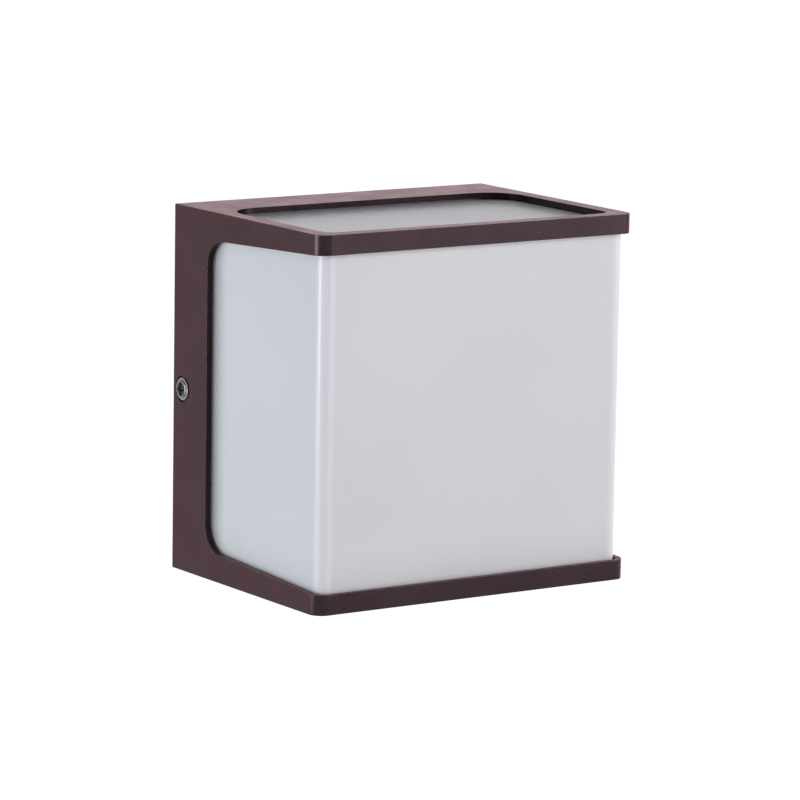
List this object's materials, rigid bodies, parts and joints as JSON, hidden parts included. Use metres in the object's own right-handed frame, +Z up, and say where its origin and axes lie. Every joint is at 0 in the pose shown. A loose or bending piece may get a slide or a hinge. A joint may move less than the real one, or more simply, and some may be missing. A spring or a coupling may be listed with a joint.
{
  "type": "outdoor wall light",
  "caption": "Square wall lantern: a cast cage with open front around an opal diffuser box, on a cast back plate with a screw lampholder and LED bulb inside.",
  "frame": {"origin": "centre of the face that lies on the wall, midway between the two wall slots", "axes": "+Y into the wall, +Z up, +X to the right of someone facing the light"},
  "size_m": [0.152, 0.11, 0.15],
  "materials": {
    "bronze_powder": "satin powder coat",
    "opal": "satin opal",
    "stainless": "satin",
    "black_rubber": "matte",
    "grey_rubber": "matte",
    "silicone": "satin",
    "epdm_foam": "matte closed-cell foam",
    "cast_grey": "bead-blasted casting",
    "block_plastic": "moulded",
    "brass": "satin",
    "zinc": "bright zinc plate",
    "tinned_copper": "tinned",
    "porcelain": "glazed",
    "lead_brown": "PVC sleeve",
    "lead_blue": "PVC sleeve",
    "lead_green": "PVC sleeve, green and yellow",
    "black_glass": "glossy",
    "nickel": "nickel plate",
    "bulb_plastic": "moulded",
    "led_board": "white solder mask",
    "bulb_opal": "frosted opal"
  },
  "bodies": {
    "base": {"wall_gasket": "epdm_foam", "back_plate": "cast_grey", "cable_grommet": "black_rubber", "terminal_block": "block_plastic", "terminal_clamps": "brass", "terminal_screws": "zinc", "terminal_block_screw": "zinc", "earth_ring_terminal": "tinned_copper", "earth_washer": "zinc", "earth_screw": "zinc", "holder_bracket": "zinc", "bracket_screws": "zinc", "lampholder_body": "porcelain", "lampholder_shell": "brass", "centre_contact": "brass", "holder_screws": "zinc", "holder_terminals": "brass", "holder_terminal_screws": "zinc", "lead_live": "lead_brown", "lead_neutral": "lead_blue", "lead_earth": "lead_green"},
    "cover": {"frame": "bronze_powder", "diffuser": "opal", "diffuser_gasket": "grey_rubber", "diffuser_bond": "silicone", "clamp_nuts": "zinc"},
    "left_seal": {"side_seal_left": "black_rubber"},
    "left_screw": {"side_screw_left": "stainless"},
    "right_seal": {"side_seal_right": "black_rubber"},
    "right_screw": {"side_screw_right": "stainless"},
    "bulb_carriage": {"bulb_tip": "tinned_copper"},
    "bulb": {"bulb_insulator": "black_glass", "bulb_cap": "nickel", "bulb_housing": "bulb_plastic", "bulb_led_board": "led_board", "bulb_globe": "bulb_opal"}
  },
  "joints": [
    {"name": "cover_pull_off", "type": "slide", "parent": "base", "child": "cover", "axis": [0, -1, 0], "range_m": [0, 0.12]},
    {"name": "left_screw_travel", "type": "slide", "parent": "cover", "child": "left_seal", "axis": [-1, 0, 0], "range_m": [0, 0.0112]},
    {"name": "left_screw_turn", "type": "hinge", "parent": "left_seal", "child": "left_screw", "pos_m": [-0.0745, -0.0074, 0], "axis": [-1, 0, 0], "range_deg": [0, 5760]},
    {"name": "right_screw_travel", "type": "slide", "parent": "cover", "child": "right_seal", "axis": [1, 0, 0], "range_m": [0, 0.0112]},
    {"name": "right_screw_turn", "type": "hinge", "parent": "right_seal", "child": "right_screw", "pos_m": [0.0745, -0.0074, 0], "axis": [1, 0, 0], "range_deg": [0, 5760]},
    {"name": "bulb_travel", "type": "slide", "parent": "base", "child": "bulb_carriage", "axis": [0, 0, 1], "range_m": [0, 0.02177]},
    {"name": "bulb_turn", "type": "hinge", "parent": "bulb_carriage", "child": "bulb", "pos_m": [0, -0.058, 0], "axis": [0, 0, 1], "range_deg": [0, 2160]}
  ],
  "couplings": [
    {"joint": "left_screw_turn", "follows": "left_screw_travel", "rad_per_m": 8976},
    {"joint": "right_screw_turn", "follows": "right_screw_travel", "rad_per_m": 8976},
    {"joint": "bulb_turn", "follows": "bulb_travel", "rad_per_m": 1731.4}
  ]
}
